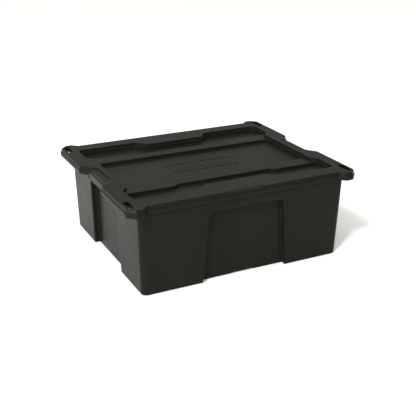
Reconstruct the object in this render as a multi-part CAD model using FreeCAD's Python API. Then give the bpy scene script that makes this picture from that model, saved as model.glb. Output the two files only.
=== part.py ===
import FreeCAD, Part
import math
import os

# Low storage tote with a lift-off lid: two one-piece mouldings in black polypropylene.
# Millimetres, +Z up, X along the length. The origin is on the ground at the middle of the base.

# ---- walls of the tote -------------------------------------------------------------------
WALL = 3.0
BASE_HALF = (269.9, 237.0)          # outside faces of the corner blocks at the ground
SHOULDER_HALF = (276.6, 241.8)      # the same faces at the height of the shoulder
SHOULDER_Z = 216.6                  # top of the rim, just below the edge of the lid
CORNER_RADIUS = 15.0
BASE_EDGE_RADIUS = 3.8
LIP_TOP_Z = 222.0                   # narrow lip inside the rim, which the lid closes over
LIP_INSET = 1.2

# ---- recessed panels in the four walls ---------------------------------------------------
END_PANEL_HALF_WIDTH = (96.0, 88.5)  # at the ground and at the shoulder
END_PANEL_X = (256.3, 261.0)        # its face, at the same two heights
END_PANEL_CORNER = 3.0
SIDE_PANEL_HALF_WIDTH = (114.5, 99.0)
SIDE_PANEL_DEPTH = 14.0
SIDE_PANEL_TOP_Z = 180.0
SIDE_PANEL_CORNER = 9.0
SIDE_PANEL_EDGE_RADIUS = 3.0

# ---- base --------------------------------------------------------------------------------
FOOT_WIDTH = 14.0
FOOT_HEIGHT = 4.5
BASE_RIB_WIDTH = 4.0
BASE_RIB_X = (-150.0, -50.0, 50.0, 150.0)
BASE_RIB_Y = (-80.0, 80.0)
BASE_NOTCH_HALF_WIDTH = 32.0        # gap in the foot at the middle of each long side
INSIDE_FLOOR_RADIUS = 4.0

# ---- plan shared by the lid and the rim --------------------------------------------------
EAR_HALF = (304.0, 257.5)           # ears at the four corners
EAR_CHAMFER = 17.0
EAR_END_X = 270.5
EDGE_Y = 243.3                      # long edges between the ears
GRIP_X = 287.0                      # short edges are set in at the hand grips
GRIP_FLAT_HALF = 59.0
GRIP_MOUTH_HALF = 80.0
PLAN_CORNER = 6.0

# ---- rim of the tote ---------------------------------------------------------------------
RIM_LEDGE = 3.0                     # the rim reaches this far beyond the lid
RIM_EDGE_RADIUS = 2.8
RIM_PLATE = 3.0
RIM_SKIRT = 2.5
RIM_BAND = 6.0                      # solid strip between rim and wall along the long edges
RIM_BOTTOM_Z = 206.5
GRIP_BOTTOM_Z = 197.0               # the rim is deeper along the hand grips
RIM_RIB_WIDTH = 2.2
RIM_RIB_Y = (-188.0, -91.0, 91.0, 188.0)

# ---- strap slots through both mouldings --------------------------------------------------
SLOT_CENTRE = (290.5, 219.0)
SLOT_HALF = (6.5, 23.0)
SLOT_RADIUS = 2.0

# ---- lid ---------------------------------------------------------------------------------
LID_TOP_Z = 226.0
LID_BOTTOM_Z = 217.0
LID_PLATE = 3.5
LID_SKIRT = 2.2
LID_LEAN = (1.6, -1.1)              # skirt against the plan, at its lower edge and at the top
LID_EDGE_RADIUS = 2.0
LID_WALL = 2.5
LID_DRAFT = math.tan(math.radians(3.0))
TRAY_DEPTH = 7.5                    # first step down from the rim of the lid
POCKET_DEPTH = 16.0                 # floors of the three pockets, also below the rim
POCKET_LEDGE = 2.5                  # ledge left between the tray wall and a pocket
TRAY_HALF = (269.5, 202.5)
TRAY_CORNER = 15.0
TRAY_END_X = 254.0                  # tray wall beside the hand grips
TRAY_END_HALF = (113.0, 130.0)
TRAY_SIDE_Y = 174.0                 # tray wall at the middle of the long edges
TRAY_SIDE_HALF = (83.5, 106.5)
BAR_INNER_Y = 93.5                  # raised bars between the middle pocket and the outer ones
BAR_OUTER_Y = (125.5, 135.5)
BAR_STEP_X = (127.0, 140.0)
SHARP_CORNER = 4.0
RECESS_EDGE_RADIUS = 1.2            # rounding round the tray, the pockets and the slots
GRIP_DROP = 3.0                     # the top of the lid is this much lower beside the hand grips
GRIP_STEP_X = 269.0
GRIP_STEP_HALF = (43.0, 58.0)       # half widths of that area at its inner side and at the grip
THUMB_BEVEL_HALF_WIDTH = 38.0
THUMB_BEVEL = (6.5, 4.0)            # width and depth of the bevel

# ---- plain raised panels -----------------------------------------------------------------
BADGE_RAISE = 0.9
LID_BADGE_HALF = (95.0, 30.0)
LID_BADGE_LINE = 4.0
LID_BADGE_CORNER = 12.0
LID_BADGE_BARS = 7
LID_BADGE_BAR_HALF = (4.5, 13.0)
LID_BADGE_BAR_CORNER = 3.0
LID_BADGE_PITCH = 23.0
FRONT_BADGE_CENTRE = (188.5, 27.0)
FRONT_BADGE_BARS = 9
FRONT_BADGE_BAR = (5.0, 14.0)
FRONT_BADGE_PITCH = 12.0

# ---- modelling helpers -------------------------------------------------------------------
OVERRUN = 1.0                       # how far cutters run past the faces they open
TOLERANCE = 0.01                    # for finding edges by their height
SMALLEST_CORNER = 0.4


def four_way(quarter):
    """Close an outline given as (x, y, radius) from the +X side round to the +Y side."""
    left = [(-x, y, r) for x, y, r in reversed(quarter)]
    top = quarter + left
    bottom = [(-x, -y, r) for x, y, r in top]
    return top + bottom


def rectangle(half_x, half_y, radius):
    return four_way([(half_x, half_y, radius)])


def offset(outline, distance):
    """Move every side of a counter-clockwise outline outwards and keep its round corners concentric."""
    count = len(outline)
    moved = []
    for index, (x, y, radius) in enumerate(outline):
        before = outline[index - 1]
        after = outline[(index + 1) % count]
        length_in = math.hypot(x - before[0], y - before[1])
        length_out = math.hypot(after[0] - x, after[1] - y)
        side_in = ((x - before[0]) / length_in, (y - before[1]) / length_in)
        side_out = ((after[0] - x) / length_out, (after[1] - y) / length_out)
        turn = side_in[0] * side_out[1] - side_in[1] * side_out[0]
        cosine = side_in[0] * side_out[0] + side_in[1] * side_out[1]
        normal_x = side_in[1] + side_out[1]
        normal_y = -side_in[0] - side_out[0]
        scale = distance / (1.0 + cosine)
        grown = radius + distance if turn > 0 else radius - distance
        moved.append((x + normal_x * scale, y + normal_y * scale, max(grown, SMALLEST_CORNER)))
    return moved


def wire(outline, height):
    """Closed wire of straight sides and round corners at one height."""
    count = len(outline)
    arcs = []
    for index, (x, y, radius) in enumerate(outline):
        before = outline[index - 1]
        after = outline[(index + 1) % count]
        corner = FreeCAD.Vector(x, y, height)
        to_before = FreeCAD.Vector(before[0] - x, before[1] - y, 0).normalize()
        to_after = FreeCAD.Vector(after[0] - x, after[1] - y, 0).normalize()
        half_angle = to_before.getAngle(to_after) / 2
        reach = radius / math.tan(half_angle)
        middle = to_before + to_after
        middle.normalize()
        start = corner + to_before * reach
        finish = corner + to_after * reach
        crown = corner + middle * (radius / math.sin(half_angle) - radius)
        arcs.append((start, crown, finish))
    edges = []
    for index, (start, crown, finish) in enumerate(arcs):
        edges.append(Part.LineSegment(arcs[index - 1][2], start).toShape())
        edges.append(Part.Arc(start, crown, finish).toShape())
    return Part.Wire(edges)


def prism(outline, bottom, top):
    face = Part.Face(wire(outline, bottom))
    return face.extrude(FreeCAD.Vector(0, 0, top - bottom))


def loft(levels):
    """Solid with straight sides through outlines given as (outline, height), from the lowest up."""
    return Part.makeLoft([wire(outline, height) for outline, height in levels], True, True)


def box(x_range, y_range, z_range):
    corner = FreeCAD.Vector(x_range[0], y_range[0], z_range[0])
    sizes = [high - low for low, high in (x_range, y_range, z_range)]
    return Part.makeBox(sizes[0], sizes[1], sizes[2], corner)


def both_sides(reach):
    return (-reach, reach)


def mirror_x(shape):
    return shape.mirror(FreeCAD.Vector(0, 0, 0), FreeCAD.Vector(1, 0, 0))


def mirror_y(shape):
    return shape.mirror(FreeCAD.Vector(0, 0, 0), FreeCAD.Vector(0, 1, 0))


def fuse(shapes):
    return shapes[0].multiFuse(shapes[1:]).removeSplitter()


def round_top(shape, top, radius):
    """Round the edges that lie at the very top of a solid."""
    edges = [edge for edge in shape.Edges if edge.BoundBox.ZMin > top - TOLERANCE]
    return shape.makeFillet(radius, edges)


def edge_rounding(radius, steps):
    """Steps of a quarter round: distance from the flat face, and how far the side is still moved."""
    angles = [math.pi / 2 * step / steps for step in range(steps + 1)]
    return [(radius * (1 - math.cos(a)), radius * (1 - math.sin(a))) for a in angles]


def sunken(outline, top, depth, edge_radius):
    """Leaning solid that fills a recess from its floor up, flared where its upper edge is round."""
    levels = [(offset(outline, -depth * LID_DRAFT), top - depth)]
    for drop, flare in reversed(edge_rounding(edge_radius, 3)):
        levels.append((offset(outline, flare), top - drop))
    return loft(levels)


def lid_plan():
    return four_way([
        (GRIP_X, GRIP_FLAT_HALF, PLAN_CORNER),
        (EAR_HALF[0], GRIP_MOUTH_HALF, PLAN_CORNER),
        (EAR_HALF[0], EAR_HALF[1] - EAR_CHAMFER, PLAN_CORNER),
        (EAR_HALF[0] - EAR_CHAMFER, EAR_HALF[1], PLAN_CORNER),
        (EAR_END_X, EAR_HALF[1], PLAN_CORNER),
        (EAR_END_X + EDGE_Y - EAR_HALF[1], EDGE_Y, PLAN_CORNER),
    ])


def slots():
    """Cutters for the four upright slots in the ears, with their upper edges rounded."""
    centre = FreeCAD.Vector(SLOT_CENTRE[0], SLOT_CENTRE[1], 0)
    outline = rectangle(SLOT_HALF[0], SLOT_HALF[1], SLOT_RADIUS)
    slot = fuse([
        prism(outline, GRIP_BOTTOM_Z, LID_TOP_Z + OVERRUN),
        sunken(outline, LID_TOP_Z, LID_PLATE, RECESS_EDGE_RADIUS),
    ])
    slot.translate(centre)
    pair = [slot, mirror_x(slot)]
    return pair + [mirror_y(shape) for shape in pair]


# ---- tote --------------------------------------------------------------------------------
def between(pair, height):
    """Value at a height, for a face that leans evenly from the ground to the shoulder."""
    return pair[0] + (pair[1] - pair[0]) * height / SHOULDER_Z


def block_half(axis, height):
    return between((BASE_HALF[axis], SHOULDER_HALF[axis]), height)


def basin_plan(inset, height):
    """Plan of the walls at one height, with the recessed panels in the two ends."""
    panel_half = between(END_PANEL_HALF_WIDTH, height)
    outer = four_way([
        (between(END_PANEL_X, height), panel_half, END_PANEL_CORNER),
        (block_half(0, height), panel_half, END_PANEL_CORNER),
        (block_half(0, height), block_half(1, height), CORNER_RADIUS),
    ])
    return offset(outer, -inset)


def side_panel_cutter(inset, bottom, edge_radius):
    """Cutter for the recessed panel in the back wall, rounded at its two top corners."""
    half_low, half_high = (half + inset for half in SIDE_PANEL_HALF_WIDTH)
    top = SIDE_PANEL_TOP_Z + inset
    low = bottom - OVERRUN
    reach = 2 * BASE_HALF[1]
    outline = [
        (-half_low, low, SMALLEST_CORNER),
        (half_low, low, SMALLEST_CORNER),
        (half_high, top, SIDE_PANEL_CORNER + inset),
        (-half_high, top, SIDE_PANEL_CORNER + inset),
    ]
    upright = Part.Face(wire(outline, 0))
    upright.rotate(FreeCAD.Vector(0, 0, 0), FreeCAD.Vector(1, 0, 0), 90)
    upright = upright.extrude(FreeCAD.Vector(0, -reach, 0))
    face_points = [(low, edge_radius)]
    face_points += [(bottom + rise, shrink) for rise, shrink in edge_rounding(edge_radius, 4)]
    face_points += [(top + OVERRUN, 0.0)]
    corners = [(reach, low)]
    for z, shrink in face_points:
        corners.append((block_half(1, z) - SIDE_PANEL_DEPTH - inset - shrink, z))
    corners += [(reach, top + OVERRUN), (reach, low)]
    profile = Part.makePolygon([FreeCAD.Vector(-reach, -y, z) for y, z in corners])
    wedge = Part.Face(profile).extrude(FreeCAD.Vector(2 * reach, 0, 0))
    return upright.common(wedge)


def side_panel_edges(shape, inset, rounding_top):
    """Edges round the recessed panels of the long walls, above the rounding of the base."""
    chosen = []
    for edge in shape.Edges:
        middle = edge.valueAt((edge.FirstParameter + edge.LastParameter) / 2)
        across = abs(middle.x) < SIDE_PANEL_HALF_WIDTH[0] + inset + OVERRUN
        outward = abs(middle.y) > BASE_HALF[1] - 2 * SIDE_PANEL_DEPTH
        above = edge.BoundBox.ZMax > rounding_top + OVERRUN
        below = edge.BoundBox.ZMin < SIDE_PANEL_TOP_Z + inset + OVERRUN
        if across and outward and above and below:
            chosen.append(edge)
    return chosen


def basin(inset, bottom, top, edge_radius):
    """Leaning block with its four recessed panels; the inset makes the inside of the walls."""
    levels = []
    for rise, shrink in edge_rounding(edge_radius, 4):
        levels.append((basin_plan(inset + shrink, bottom + rise), bottom + rise))
    levels.append((basin_plan(inset, top), top))
    cutter = side_panel_cutter(inset, bottom, edge_radius)
    block = loft(levels).cut([cutter, mirror_y(cutter)])
    return block.makeFillet(SIDE_PANEL_EDGE_RADIUS, side_panel_edges(block, inset, bottom + edge_radius))


def lip():
    """Top of the walls above the shoulder, a little thinner, which the lid closes over."""
    return prism(basin_plan(LIP_INSET, SHOULDER_Z), SHOULDER_Z - OVERRUN, LIP_TOP_Z)


def rim_band(plan):
    """Solid with the plan of the rim, deeper at the hand grips and rounded along its top edge."""
    along_grips = box(
        both_sides(EAR_HALF[0]), both_sides(GRIP_FLAT_HALF), (GRIP_BOTTOM_Z, SHOULDER_Z)
    )
    grips = prism(plan, GRIP_BOTTOM_Z, SHOULDER_Z).common(along_grips)
    band = fuse([prism(plan, RIM_BOTTOM_Z, SHOULDER_Z), grips])
    return round_top(band, SHOULDER_Z, RIM_EDGE_RADIUS)


def rim_supports():
    """What stays solid under the rim: strips along the long walls and short ribs at the ends."""
    heights = (GRIP_BOTTOM_Z - 2 * OVERRUN, SHOULDER_Z)
    strip = box(both_sides(EAR_END_X - RIM_SKIRT), (EDGE_Y - RIM_BAND, EAR_HALF[1]), heights)
    ribs = []
    for y in RIM_RIB_Y:
        rib_y = (y - RIM_RIB_WIDTH / 2, y + RIM_RIB_WIDTH / 2)
        ribs.append(box(both_sides(EAR_HALF[0]), rib_y, (RIM_BOTTOM_Z, SHOULDER_Z)))
    return [strip, mirror_y(strip)] + ribs


def rim():
    """Flange round the mouth of the tote, hollow underneath."""
    plan = offset(lid_plan(), RIM_LEDGE)
    hollow = prism(offset(plan, -RIM_SKIRT), GRIP_BOTTOM_Z - OVERRUN, SHOULDER_Z - RIM_PLATE)
    return rim_band(plan).cut(hollow.cut(rim_supports()))


def base_relief():
    """Cutters under the base: a shallow hollow inside the foot, less its ribs, and two notches."""
    depth = (-OVERRUN, FOOT_HEIGHT)
    hollow = prism(offset(basin_plan(0.0, 0.0), -FOOT_WIDTH), depth[0], depth[1])
    panel = side_panel_cutter(FOOT_WIDTH, 0.0, 0.0)
    ribs = []
    for x in BASE_RIB_X:
        rib_x = (x - BASE_RIB_WIDTH / 2, x + BASE_RIB_WIDTH / 2)
        ribs.append(box(rib_x, both_sides(BASE_HALF[1]), depth))
    for y in BASE_RIB_Y:
        rib_y = (y - BASE_RIB_WIDTH / 2, y + BASE_RIB_WIDTH / 2)
        ribs.append(box(both_sides(BASE_HALF[0]), rib_y, depth))
    notch = box(both_sides(BASE_NOTCH_HALF_WIDTH), both_sides(BASE_HALF[1]), depth)
    return fuse([hollow.cut([panel, mirror_y(panel)] + ribs), notch])


def front_badge():
    """Plain row of raised upright bars low on the front wall, at the right."""
    centre_x, centre_z = FRONT_BADGE_CENTRE
    width, height = FRONT_BADGE_BAR
    first = centre_x - (FRONT_BADGE_BARS - 1) * FRONT_BADGE_PITCH / 2
    low = centre_z - height / 2
    face_y = -block_half(1, centre_z) - BADGE_RAISE
    bars = []
    for index in range(FRONT_BADGE_BARS):
        left = first + index * FRONT_BADGE_PITCH - width / 2
        bar = box((left, left + width), (face_y, face_y + WALL), (low, low + height))
        outer_edges = [edge for edge in bar.Edges if edge.BoundBox.YMax < face_y + TOLERANCE]
        bars.append(bar.makeFillet(BADGE_RAISE / 2, outer_edges))
    return bars


def tote():
    walls = basin(0.0, 0.0, SHOULDER_Z, BASE_EDGE_RADIUS)
    outside = fuse([walls, rim(), lip()] + front_badge())
    cavity = basin(WALL, FOOT_HEIGHT + WALL, LIP_TOP_Z + OVERRUN, INSIDE_FLOOR_RADIUS)
    return outside.cut([cavity, base_relief()] + slots()).removeSplitter()


# ---- lid ---------------------------------------------------------------------------------
def tray_plan():
    """Inner edge of the raised rim of the lid, at the top."""
    return four_way([
        (TRAY_END_X, TRAY_END_HALF[0], SHARP_CORNER),
        (TRAY_HALF[0], TRAY_END_HALF[1], SHARP_CORNER),
        (TRAY_HALF[0], TRAY_HALF[1], TRAY_CORNER),
        (TRAY_SIDE_HALF[1], TRAY_HALF[1], SHARP_CORNER),
        (TRAY_SIDE_HALF[0], TRAY_SIDE_Y, SHARP_CORNER),
    ])


def outer_pocket_plan():
    """Pocket between a raised bar and the far rim of the lid."""
    ear_x = TRAY_HALF[0] - POCKET_LEDGE
    far_y = TRAY_HALF[1] - POCKET_LEDGE
    near_y = TRAY_SIDE_Y - POCKET_LEDGE
    right = [
        (BAR_STEP_X[0], BAR_OUTER_Y[0], SHARP_CORNER),
        (BAR_STEP_X[1], BAR_OUTER_Y[1], SHARP_CORNER),
        (ear_x, BAR_OUTER_Y[1], SHARP_CORNER),
        (ear_x, far_y, TRAY_CORNER - POCKET_LEDGE),
        (TRAY_SIDE_HALF[1] + POCKET_LEDGE, far_y, SHARP_CORNER),
        (TRAY_SIDE_HALF[0] + POCKET_LEDGE, near_y, SHARP_CORNER),
    ]
    return right + [(-x, y, r) for x, y, r in reversed(right)]


def pocket_plans():
    """The middle pocket and the outer ones at the back and at the front."""
    middle = rectangle(TRAY_END_X - POCKET_LEDGE, BAR_INNER_Y, SHARP_CORNER)
    back = outer_pocket_plan()
    front = [(-x, -y, r) for x, y, r in back]
    return [middle, back, front]


def lid_recess():
    """Everything below the rim of the lid: the tray and its three pockets."""
    tray_floor = LID_TOP_Z - TRAY_DEPTH
    shapes = [sunken(tray_plan(), LID_TOP_Z, TRAY_DEPTH, RECESS_EDGE_RADIUS)]
    for plan in pocket_plans():
        shapes.append(sunken(plan, tray_floor, POCKET_DEPTH - TRAY_DEPTH, RECESS_EDGE_RADIUS))
    return shapes


def carrier(plan, floor, top):
    """Leaning solid one wall thickness larger than a hollow, which becomes its walls and floor."""
    grown = offset(plan, LID_WALL)
    low = floor - LID_WALL
    return loft([(offset(grown, -(top - low) * LID_DRAFT), low), (grown, top)])


def lid_pan():
    """Solid that carries the tray and the pockets under the lid."""
    tray_floor = LID_TOP_Z - TRAY_DEPTH
    pocket_floor = LID_TOP_Z - POCKET_DEPTH
    shapes = [carrier(tray_plan(), tray_floor, LID_TOP_Z - OVERRUN)]
    shapes += [carrier(plan, pocket_floor, tray_floor) for plan in pocket_plans()]
    return fuse(shapes)


def grip_zones(grow, bottom):
    """Blocks over the lower areas beside the two hand grips, from the given height upwards."""
    inner, outer = (half + grow for half in GRIP_STEP_HALF)
    inner_x = GRIP_STEP_X - grow
    slope = (outer - inner) / (GRIP_X - GRIP_STEP_X)
    edge = outer + slope * (EAR_HALF[0] - GRIP_X)
    outline = [
        (EAR_HALF[0], -edge, SHARP_CORNER),
        (EAR_HALF[0], edge, SHARP_CORNER),
        (inner_x, inner, SHARP_CORNER),
        (inner_x, -inner, SHARP_CORNER),
    ]
    zone = prism(outline, bottom, LID_TOP_Z + OVERRUN)
    return [zone, mirror_x(zone)]


def thumb_bevel():
    """Cutter for the wider bevel at the middle of the front edge."""
    width, depth = THUMB_BEVEL
    outside = -EDGE_Y - OVERRUN
    corners = [
        (-EDGE_Y + width, LID_TOP_Z),
        (-EDGE_Y, LID_TOP_Z - depth),
        (outside, LID_TOP_Z - depth),
        (outside, LID_TOP_Z + OVERRUN),
        (-EDGE_Y + width, LID_TOP_Z + OVERRUN),
        (-EDGE_Y + width, LID_TOP_Z),
    ]
    profile = Part.makePolygon([FreeCAD.Vector(-THUMB_BEVEL_HALF_WIDTH, y, z) for y, z in corners])
    return Part.Face(profile).extrude(FreeCAD.Vector(2 * THUMB_BEVEL_HALF_WIDTH, 0, 0))


def lid_block(inset, bottom, top):
    """Solid with the leaning sides of the lid between two heights; the inset makes its hollow."""
    slope = (LID_LEAN[1] - LID_LEAN[0]) / (LID_TOP_Z - LID_BOTTOM_Z)
    levels = []
    for height in (bottom, top):
        lean = LID_LEAN[0] + slope * (height - LID_BOTTOM_Z)
        levels.append((offset(lid_plan(), lean - inset), height))
    return loft(levels)


def lid_shell():
    """Rim of the lid: plate and skirt, lower beside the hand grips, open underneath."""
    grip_top = LID_TOP_Z - GRIP_DROP
    high = round_top(lid_block(0.0, LID_BOTTOM_Z, LID_TOP_Z), LID_TOP_Z, LID_EDGE_RADIUS)
    low = round_top(lid_block(0.0, LID_BOTTOM_Z, grip_top), grip_top, LID_EDGE_RADIUS)
    block = fuse([high.cut(grip_zones(0.0, grip_top)), low])
    under = lid_block(LID_SKIRT, LID_BOTTOM_Z - OVERRUN, LID_TOP_Z - LID_PLATE)
    under = under.cut(grip_zones(LID_WALL, grip_top - LID_PLATE))
    return block.cut([thumb_bevel(), under])


def lid_badge():
    """Plain raised frame with a row of upright bars, in the middle of the lid."""
    floor = LID_TOP_Z - POCKET_DEPTH
    top = floor + BADGE_RAISE
    outer = rectangle(LID_BADGE_HALF[0], LID_BADGE_HALF[1], LID_BADGE_CORNER)
    inner = offset(outer, -LID_BADGE_LINE)
    frame = prism(outer, floor - OVERRUN, top)
    shapes = [frame.cut(prism(inner, floor - 2 * OVERRUN, top + OVERRUN))]
    bar_plan = rectangle(LID_BADGE_BAR_HALF[0], LID_BADGE_BAR_HALF[1], LID_BADGE_BAR_CORNER)
    first = -(LID_BADGE_BARS - 1) * LID_BADGE_PITCH / 2
    for index in range(LID_BADGE_BARS):
        bar = prism(bar_plan, floor - OVERRUN, top)
        bar.translate(FreeCAD.Vector(first + index * LID_BADGE_PITCH, 0, 0))
        shapes.append(bar)
    return shapes


def lid():
    body = fuse([lid_shell(), lid_pan()]).cut(lid_recess() + slots())
    return fuse([body] + lid_badge())


def main():
    os.makedirs("parts", exist_ok=True)
    for name, build in (("tote", tote), ("lid", lid)):
        shape = build()
        shape.exportStep("parts/" + name + ".step")
        print(name, shape.isValid(), len(shape.Solids), round(shape.Volume / 1000, 1), "cm3")


main()
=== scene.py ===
import math

import bpy
from mathutils import Matrix, Vector

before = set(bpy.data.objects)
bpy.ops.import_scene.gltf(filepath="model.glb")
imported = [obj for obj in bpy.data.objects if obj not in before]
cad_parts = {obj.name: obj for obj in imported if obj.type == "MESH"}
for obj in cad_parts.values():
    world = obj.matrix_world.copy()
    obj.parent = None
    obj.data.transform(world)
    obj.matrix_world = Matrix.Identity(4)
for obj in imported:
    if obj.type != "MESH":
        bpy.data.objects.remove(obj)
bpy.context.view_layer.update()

# ---- camera ------------------------------------------------------------------------------
CAMERA_PLACE = (-0.8503, -1.7046, 0.8657)
CAMERA_TURN = math.radians(26.970)     # to the right of +Y
CAMERA_TILT = math.radians(22.245)     # below the horizon
CAMERA_ROLL = math.radians(0.381)
CAMERA_LENS = 66.893                   # millimetres, on the sensor below
SENSOR_WIDTH = 36.0
CAMERA_REACH = 100.0                   # metres, past the far corner of the floor

# ---- studio ------------------------------------------------------------------------------
FLOOR_HALF = 12.0
FLOOR_COLOUR = (0.9, 0.9, 0.885, 1.0)
FLOOR_ROUGHNESS = 0.9
SKY_COLOUR = (1.0, 0.995, 0.965, 1.0)
SKY_TOP = 1.18                         # strength overhead
SKY_SIDES = 0.35                       # strength near the horizon
SKY_RISE = (0.2, 0.75)                 # heights on the sky between which the strength grows
LIGHT_TARGET = Vector((0.0, 0.0, 0.1))
KEY_PLACE = (-3.54, -2.89, 5.01)
KEY_SIZE = 0.9
KEY_POWER = 325.0
FILL_PLACE = (-2.6, -1.4, 1.0)         # low at the front left, seen in the slanted faces
FILL_SIZE = 1.2
FILL_POWER = 42.0

# ---- moulded plastic: lengths in metres, scales in features per metre ----------------------
TOTE_COLOURS = ((0.0076, 0.0072, 0.0061, 1.0), (0.0104, 0.0099, 0.0085, 1.0))
LID_COLOURS = ((0.0084, 0.0080, 0.0067, 1.0), (0.0108, 0.0103, 0.0088, 1.0))
# lighter colour laid along every edge, convex and concave: partly rub wear, partly a painted
# highlight
RUB_AND_HIGHLIGHT_COLOUR = (0.018, 0.0175, 0.0155, 1.0)
SPECULAR = 0.075
SPECULAR_TINT = (1.0, 0.985, 0.90, 1.0)
EDGE_RADIUS = 0.0012                   # how far each edge looks soft, and lighter as rub wear and as a painted highlight
EDGE_SAMPLES = 6
EDGE_FACING = (0.995, 0.90)            # how alike the two normals are, on a flat face and on an edge
EDGE_RUB_AND_HIGHLIGHT = (0.15, 0.8)                # least and most lightening along an edge (rub wear and painted highlight), as the smudges vary it
TOTE_GRAIN = 1400.0
LID_GRAIN = 1800.0
GRAIN_DETAIL = 2.0
GRAIN_BUMP = (0.30, 0.00004)           # strength, and height of the grain
FLOW_SCALE = 7.0
FLOW_DETAIL = 4.0
FLOW_BUMP = (0.15, 0.0004)
TOTE_STREAKS = (1.0, 1.0, 0.25)        # the flow marks are drawn out up the walls
LID_STREAKS = (0.6, 1.0, 1.0)          # and along the length of the lid
SMUDGE_SCALE = 38.0
SMUDGE_DETAIL = 5.0
SCUFF_SCALE = 60.0
SCUFF_DETAIL = 3.0
SCUFF_STRETCH = (1.0, 14.0, 6.0)
SCUFF_RANGE = (0.70, 0.78)
NOISE_RANGE = (0.3, 0.7)               # nearly all the values that a noise gives
EDGE_NOISE_RANGE = (0.35, 0.65)        # narrower, so that the lighter edges (rub wear and painted highlight) are patchier
SMUDGE_ROUGHNESS = (0.30, 0.36)
FLOW_ROUGHNESS = (0.05, 0.0)
SCUFF_ROUGHNESS = (0.0, 0.08)


def add_camera():
    data = bpy.data.cameras.new("camera")
    data.lens = CAMERA_LENS
    data.sensor_width = SENSOR_WIDTH
    data.clip_end = CAMERA_REACH
    camera = bpy.data.objects.new("camera", data)
    forward = Vector((
        math.sin(CAMERA_TURN) * math.cos(CAMERA_TILT),
        math.cos(CAMERA_TURN) * math.cos(CAMERA_TILT),
        -math.sin(CAMERA_TILT),
    ))
    right = Vector((math.cos(CAMERA_TURN), -math.sin(CAMERA_TURN), 0.0))
    up = right.cross(forward)
    rolled_right = right * math.cos(CAMERA_ROLL) + up * math.sin(CAMERA_ROLL)
    rolled_up = up * math.cos(CAMERA_ROLL) - right * math.sin(CAMERA_ROLL)
    turn = Matrix((rolled_right, rolled_up, -forward)).transposed()
    camera.matrix_world = Matrix.Translation(CAMERA_PLACE) @ turn.to_4x4()
    bpy.context.scene.collection.objects.link(camera)
    bpy.context.scene.camera = camera


def add_floor():
    """Plain pale floor, far wider than the view."""
    mesh = bpy.data.meshes.new("floor")
    h = FLOOR_HALF
    mesh.from_pydata([(-h, -h, 0), (h, -h, 0), (h, h, 0), (-h, h, 0)], [], [(0, 1, 2, 3)])
    floor = bpy.data.objects.new("floor", mesh)
    material = bpy.data.materials.new("floor")
    material.use_nodes = True
    shader = material.node_tree.nodes["Principled BSDF"]
    shader.inputs["Base Color"].default_value = FLOOR_COLOUR
    shader.inputs["Roughness"].default_value = FLOOR_ROUGHNESS
    shader.inputs["Specular IOR Level"].default_value = 0.0
    mesh.materials.append(material)
    bpy.context.scene.collection.objects.link(floor)


def add_light(name, place, size, power):
    """Square soft light that faces the object."""
    data = bpy.data.lights.new(name, "AREA")
    data.size = size
    data.energy = power
    light = bpy.data.objects.new(name, data)
    light.location = place
    light.rotation_euler = (LIGHT_TARGET - Vector(place)).to_track_quat("-Z", "Y").to_euler()
    bpy.context.scene.collection.objects.link(light)


def add_sky():
    """Plain white surroundings, brightest overhead."""
    world = bpy.data.worlds.new("studio")
    world.use_nodes = True
    nodes = world.node_tree.nodes
    links = world.node_tree.links
    direction = nodes.new("ShaderNodeTexCoord")
    height = nodes.new("ShaderNodeSeparateXYZ")
    strength = nodes.new("ShaderNodeMapRange")
    strength.interpolation_type = "SMOOTHSTEP"
    strength.inputs["From Min"].default_value = SKY_RISE[0]
    strength.inputs["From Max"].default_value = SKY_RISE[1]
    strength.inputs["To Min"].default_value = SKY_SIDES
    strength.inputs["To Max"].default_value = SKY_TOP
    background = nodes["Background"]
    background.inputs["Color"].default_value = SKY_COLOUR
    links.new(direction.outputs["Generated"], height.inputs["Vector"])
    links.new(height.outputs["Z"], strength.inputs["Value"])
    links.new(strength.outputs["Result"], background.inputs["Strength"])
    bpy.context.scene.world = world


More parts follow.
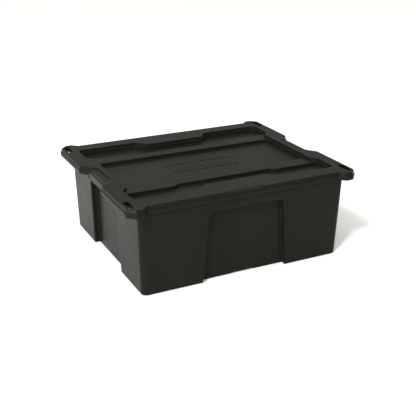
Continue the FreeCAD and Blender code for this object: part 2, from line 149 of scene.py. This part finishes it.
class Recipe:
    """Adds nodes to one material. Each method returns the output that the next one takes."""

    def __init__(self, material):
        material.use_nodes = True
        self.nodes = material.node_tree.nodes
        self.links = material.node_tree.links
        self.place = self.nodes.new("ShaderNodeTexCoord").outputs["Object"]

    def noise(self, scale, detail, stretch=(1.0, 1.0, 1.0)):
        mapping = self.nodes.new("ShaderNodeMapping")
        mapping.inputs["Scale"].default_value = stretch
        texture = self.nodes.new("ShaderNodeTexNoise")
        texture.inputs["Scale"].default_value = scale
        texture.inputs["Detail"].default_value = detail
        self.links.new(self.place, mapping.inputs["Vector"])
        self.links.new(mapping.outputs["Vector"], texture.inputs["Vector"])
        return texture.outputs["Fac"]

    def spread(self, value, source, target):
        """Map one range of a value onto another, and hold it at the ends."""
        part = self.nodes.new("ShaderNodeMapRange")
        part.inputs["From Min"].default_value, part.inputs["From Max"].default_value = source
        part.inputs["To Min"].default_value, part.inputs["To Max"].default_value = target
        self.links.new(value, part.inputs["Value"])
        return part.outputs["Result"]

    def combine(self, operation, first, second):
        part = self.nodes.new("ShaderNodeMath")
        part.operation = operation
        self.links.new(first, part.inputs[0])
        self.links.new(second, part.inputs[1])
        return part.outputs["Value"]

    def blend(self, amount, first, second):
        """Mix two colours, each a plain value or an output."""
        part = self.nodes.new("ShaderNodeMix")
        part.data_type = "RGBA"
        self.links.new(amount, part.inputs["Factor"])
        for socket, value in ((part.inputs["A"], first), (part.inputs["B"], second)):
            if isinstance(value, tuple):
                socket.default_value = value
            else:
                self.links.new(value, socket)
        return part.outputs["Result"]

    def bump(self, height, strength, distance, normal):
        part = self.nodes.new("ShaderNodeBump")
        part.inputs["Strength"].default_value = strength
        part.inputs["Distance"].default_value = distance
        self.links.new(height, part.inputs["Height"])
        self.links.new(normal, part.inputs["Normal"])
        return part.outputs["Normal"]

    def soft_edges(self):
        """Normal that rounds each edge, and how near a point is to an edge, from 0 to 1."""
        soft = self.nodes.new("ShaderNodeBevel")
        soft.samples = EDGE_SAMPLES
        soft.inputs["Radius"].default_value = EDGE_RADIUS
        surface = self.nodes.new("ShaderNodeNewGeometry")
        facing = self.nodes.new("ShaderNodeVectorMath")
        facing.operation = "DOT_PRODUCT"
        self.links.new(soft.outputs["Normal"], facing.inputs[0])
        self.links.new(surface.outputs["Normal"], facing.inputs[1])
        return soft.outputs["Normal"], self.spread(facing.outputs["Value"], EDGE_FACING, (0.0, 1.0))


def moulded_plastic(name, colours, grain_scale, streaks):
    """Black polypropylene: fine moulded grain, faint flow marks, edges lightened as rub wear and as
    a painted highlight, light scuffs.
    """
    material = bpy.data.materials.new(name)
    recipe = Recipe(material)
    shader = recipe.nodes["Principled BSDF"]
    shader.inputs["Specular IOR Level"].default_value = SPECULAR
    shader.inputs["Specular Tint"].default_value = SPECULAR_TINT

    soft_normal, edges = recipe.soft_edges()
    grain = recipe.noise(grain_scale, GRAIN_DETAIL)
    flow = recipe.noise(FLOW_SCALE, FLOW_DETAIL, streaks)
    smudges = recipe.noise(SMUDGE_SCALE, SMUDGE_DETAIL)
    scuffs = recipe.noise(SCUFF_SCALE, SCUFF_DETAIL, SCUFF_STRETCH)

    plain = recipe.blend(recipe.spread(flow, NOISE_RANGE, (0.0, 1.0)), colours[0], colours[1])
    # painted highlight: every edge is made lighter in colour, partly standing for rub wear
    rub_and_highlight = recipe.combine("MULTIPLY", edges, recipe.spread(smudges, EDGE_NOISE_RANGE, EDGE_RUB_AND_HIGHLIGHT))
    recipe.links.new(recipe.blend(rub_and_highlight, plain, RUB_AND_HIGHLIGHT_COLOUR), shader.inputs["Base Color"])

    roughness = recipe.combine(
        "ADD",
        recipe.spread(smudges, NOISE_RANGE, SMUDGE_ROUGHNESS),
        recipe.spread(flow, NOISE_RANGE, FLOW_ROUGHNESS),
    )
    roughness = recipe.combine("ADD", roughness, recipe.spread(scuffs, SCUFF_RANGE, SCUFF_ROUGHNESS))
    recipe.links.new(roughness, shader.inputs["Roughness"])

    normal = recipe.bump(flow, *FLOW_BUMP, soft_normal)
    normal = recipe.bump(grain, *GRAIN_BUMP, normal)
    recipe.links.new(normal, shader.inputs["Normal"])
    return material


def finish_node(name, material):
    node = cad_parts[name]
    for index in range(len(node.data.materials)):
        node.data.materials[index] = material


add_camera()
add_floor()
add_sky()
add_light("key", KEY_PLACE, KEY_SIZE, KEY_POWER)
add_light("fill", FILL_PLACE, FILL_SIZE, FILL_POWER)
bpy.context.scene.view_settings.view_transform = "Standard"
finish_node("tote", moulded_plastic("tote_plastic", TOTE_COLOURS, TOTE_GRAIN, TOTE_STREAKS))
finish_node("lid", moulded_plastic("lid_plastic", LID_COLOURS, LID_GRAIN, LID_STREAKS))
